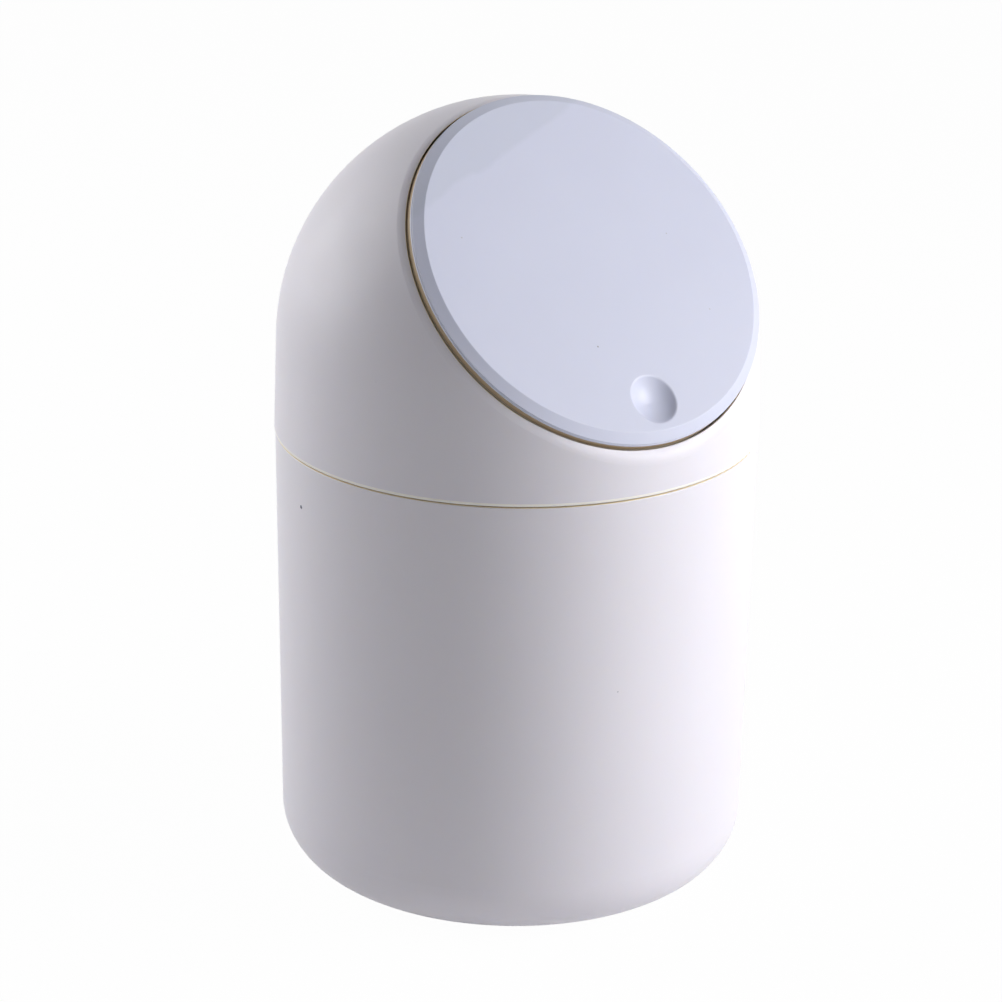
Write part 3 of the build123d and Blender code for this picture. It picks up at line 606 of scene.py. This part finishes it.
def hinge_spring(side, mirror):
    """The two halves of one hinge spring."""
    fixed = wind(f"hinge_coil_{side}", hinge_radius, whole_turn, coil_rise)
    coil_end = Matrix.Rotation(whole_turn, 3, "Z") @ coil_start + Vector((0, 0, coil_rise))
    close_end(fixed, coil_start, leg=-leg_way)
    close_end(fixed, coil_end)
    settle(fixed, coil_place, mirror)
    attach(fixed, "hood")

    swing_rise = hinge_pitch * swinging_turn / math.tau
    swing_start = whole_turn - swinging_turn
    swinging = wind(f"hinge_arm_{side}", hinge_radius, swinging_turn, swing_rise)
    arm_end = Matrix.Rotation(swinging_turn, 3, "Z") @ coil_start + Vector((0, 0, swing_rise))
    close_end(swinging, coil_start)
    close_end(swinging, arm_end, leg=Matrix.Rotation(swinging_turn, 3, "Z") @ leg_way)
    lift = Matrix.Translation((0, 0, coil_rise - swing_rise)) @ Matrix.Rotation(swing_start, 4, "Z")
    settle(swinging, coil_place @ lift, mirror)
    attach(swinging, "flap")
    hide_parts(f"hinge_spring_{side}")
    return fixed, swinging


hinge_springs = hinge_spring("right", False) + hinge_spring("left", True)
print("hinge spring pieces:", [piece.name for piece in hinge_springs])

# %% [markdown]
# Under the bucket, in the middle of the recessed foot, the mould's gate leaves a low round stub with a
# small crater where the plastic was cut off. It is a short cylinder whose top face is inset and pushed
# in, with its edges rounded by a Bevel modifier. It stays clear of the worktop.

# %% The gate mark under the foot
foot_recess = 0.0008
gate_radius, gate_height = 0.0025, 0.0004
crater_rim_share, crater_depth_share, edge_share = 0.55, 0.5, 0.2
bpy.ops.mesh.primitive_cylinder_add(
    vertices=48, radius=gate_radius, depth=gate_height, location=(0, 0, foot_recess - gate_height / 2)
)
gate = bpy.context.object
gate.name = "gate_mark"
bpy.ops.object.transform_apply(location=True, rotation=True, scale=True)
bpy.ops.object.mode_set(mode="EDIT")
bpy.ops.mesh.select_mode(type="FACE")
bpy.ops.mesh.select_all(action="DESELECT")
bpy.ops.object.mode_set(mode="OBJECT")
for face in gate.data.polygons:
    face.select = face.normal.z < -0.9
bpy.ops.object.mode_set(mode="EDIT")
bpy.ops.mesh.inset(thickness=gate_radius * crater_rim_share, depth=0)
bpy.ops.transform.translate(value=(0, 0, gate_height * crater_depth_share))
bpy.ops.object.mode_set(mode="OBJECT")
soften = gate.modifiers.new("soften", "BEVEL")
soften.width = gate_height * edge_share
soften.segments = 3
bpy.ops.object.modifier_apply(modifier="soften")
bpy.ops.object.shade_smooth_by_angle(angle=math.radians(50))
gate.data.materials.append(bucket_plastic)
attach(gate, "bucket")
bpy.ops.object.select_all(action="DESELECT")
print("gate mark faces:", len(gate.data.polygons))

# %% [markdown]
# The bin stands on a plain pale floor that runs out of sight. To the camera, and in what metal and
# plastic mirror, the floor is white. It keeps a faint shadow, so a small part of it stays a real lit
# surface while the rest only shines. A helper finds the rays that see it so, for the air needs it too.

# %% Floor
def seen_rays(tree):
    """1 on rays from the camera and on those that a mirror or glass passes on, 0 on all others."""
    rays = node(tree, "ShaderNodeLightPath")
    mirrored = node(
        tree,
        "ShaderNodeMath",
        wires={0: rays.outputs["Is Glossy Ray"], 1: rays.outputs["Is Transmission Ray"]},
        operation="MAXIMUM",
    )
    seen = node(
        tree,
        "ShaderNodeMath",
        wires={0: rays.outputs["Is Camera Ray"], 1: mirrored.outputs[0]},
        operation="MAXIMUM",
    )
    return seen.outputs[0]


floor_size = 12
floor_pale = (0.85, 0.85, 0.85, 1)
floor_glow_share = 0.98
pure_white = (1, 1, 1, 1)

bpy.ops.mesh.primitive_plane_add(size=floor_size, location=(0, 0, 0))
floor = bpy.context.object
floor.name = "floor"
floor_finish, floor_tree, floor_shader = start_finish("floor_white")[:3]
floor_shader.inputs["Base Color"].default_value = floor_pale
floor_shader.inputs["Roughness"].default_value = 0.9
floor_shader.inputs["Specular IOR Level"].default_value = 0.1
share = node(
    floor_tree, "ShaderNodeMath", {1: floor_glow_share}, {0: seen_rays(floor_tree)}, operation="MULTIPLY"
)
glow = node(floor_tree, "ShaderNodeEmission", {"Color": pure_white, "Strength": 1})
both = node(
    floor_tree,
    "ShaderNodeMixShader",
    wires={0: share.outputs[0], 1: floor_shader.outputs[0], 2: glow.outputs[0]},
)
floor_tree.links.new(both.outputs[0], floor_tree.nodes["Material Output"].inputs["Surface"])
floor.data.materials.append(floor_finish)
print("floor ready")

# %% [markdown]
# The air behind the bin is white to the same rays. To all others it is a weak even light from all
# round, which opens the deepest shade a little.

# %% Air
air_light = 0.072
world = bpy.data.worlds.new("studio")
bpy.context.scene.world = world
world.use_nodes = True
air_tree = world.node_tree
air = air_tree.nodes["Background"]
air.inputs["Color"].default_value = pure_white
air.inputs["Strength"].default_value = air_light
white = node(air_tree, "ShaderNodeBackground", {"Color": pure_white, "Strength": 1})
air_mix = node(
    air_tree,
    "ShaderNodeMixShader",
    wires={0: seen_rays(air_tree), 1: air.outputs[0], 2: white.outputs[0]},
)
air_tree.links.new(air_mix.outputs[0], air_tree.nodes["World Output"].inputs["Surface"])
print("air ready, strength", air_light)

# %% [markdown]
# A soft box is an area lamp. Its size sets how soft the shade is, and its side sets where the form
# turns dark. The key stands to the bin's right, a weak one in front of it opens the shade, and one
# behind the bin's left side keeps that edge light.

# %% Soft boxes
lamp_aim = Vector((0, 0, 0.11))
lamp_distance = 1.0


def soft_box(name, direction, side, power):
    """A square white area lamp, a metre off, that looks at the bin's middle from a direction."""
    way = Vector(direction).normalized()
    bpy.ops.object.light_add(type="AREA", location=lamp_aim + way * lamp_distance)
    lamp = bpy.context.object
    lamp.name = name
    lamp.data.shape = "SQUARE"
    lamp.data.size = side
    lamp.data.energy = power
    lamp.rotation_euler = way.to_track_quat("Z", "Y").to_euler()


soft_box("key_box", (0.67, -0.625, 0.40), 0.5, 7.9)
soft_box("front_box", (0.30, -0.90, 0.30), 0.8, 2.6)
soft_box("edge_box", (-0.54, 0.83, 0.41), 0.8, 6.7)

# %% [markdown]
# The picture is shown as it is measured, with no look laid over it.

# %% Colour view
bpy.context.scene.view_settings.view_transform = "Standard"
